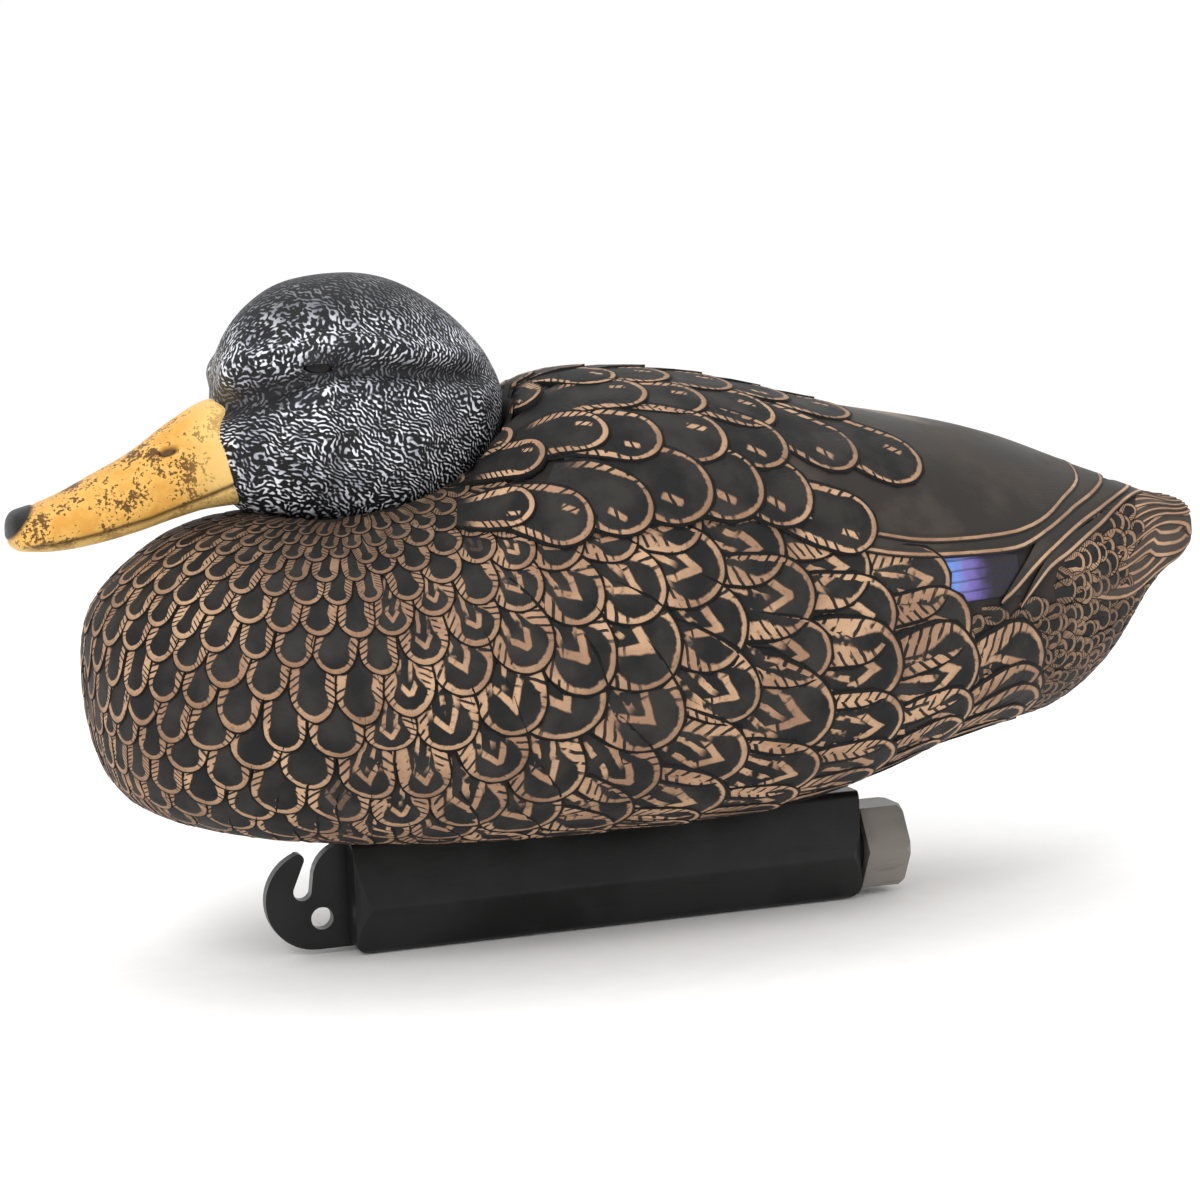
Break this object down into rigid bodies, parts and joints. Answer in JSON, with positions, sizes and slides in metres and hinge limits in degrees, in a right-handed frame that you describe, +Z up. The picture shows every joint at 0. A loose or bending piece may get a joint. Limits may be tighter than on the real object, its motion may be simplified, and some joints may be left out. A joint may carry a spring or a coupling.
{
  "type": "floating duck decoy",
  "caption": "Resting duck decoy with a turning head, a sand-filled keel with a hook-and-hole line tab, and a hexagonal screw cap.",
  "frame": {"origin": "centre of the keel's flat underside, which is the lowest face", "axes": "+X from the bill towards the tail, +Y towards the duck's right side, +Z up"},
  "size_m": [0.4255, 0.1714, 0.2334],
  "materials": {
    "body_paint": "matte paint on moulded plastic",
    "head_paint": "matte paint, dry-brushed",
    "bill_paint": "satin paint, speckled",
    "eye_gloss": "gloss",
    "keel_plastic": "satin",
    "cap_plastic": "satin",
    "socket_plastic": "satin",
    "rubber": "matte",
    "steel": "brushed",
    "sand": "loose grains"
  },
  "bodies": {
    "decoy": {"body_shell": "body_paint", "neck_socket": "socket_plastic", "friction_ring": "rubber", "vent_plug": "rubber", "keel_shell": "keel_plastic", "sand_ballast": "sand", "keel_screws": "steel", "keel_washers": "rubber"},
    "head": {"head_shell": "head_paint", "bill": "bill_paint", "left_eye": "eye_gloss", "right_eye": "eye_gloss", "neck_post": "socket_plastic", "neck_screw": "steel"},
    "gasket": {"cap_gasket": "rubber"},
    "cap": {"keel_cap": "cap_plastic"}
  },
  "joints": [
    {"name": "head_turn", "type": "hinge", "parent": "decoy", "child": "head", "pos_m": [-0.086, 0, 0.13], "axis": [0, 0, 1], "range_deg": [-25, 25]},
    {"name": "cap_travel", "type": "slide", "parent": "decoy", "child": "gasket", "axis": [1, 0, 0], "range_m": [0, 0.01]},
    {"name": "cap_turn", "type": "hinge", "parent": "gasket", "child": "cap", "pos_m": [0.11, 0, 0.0175], "axis": [1, 0, 0], "range_deg": [0, 900]}
  ],
  "couplings": [
    {"joint": "cap_travel", "follows": "cap_turn", "m_per_rad": 0.00063662}
  ]
}
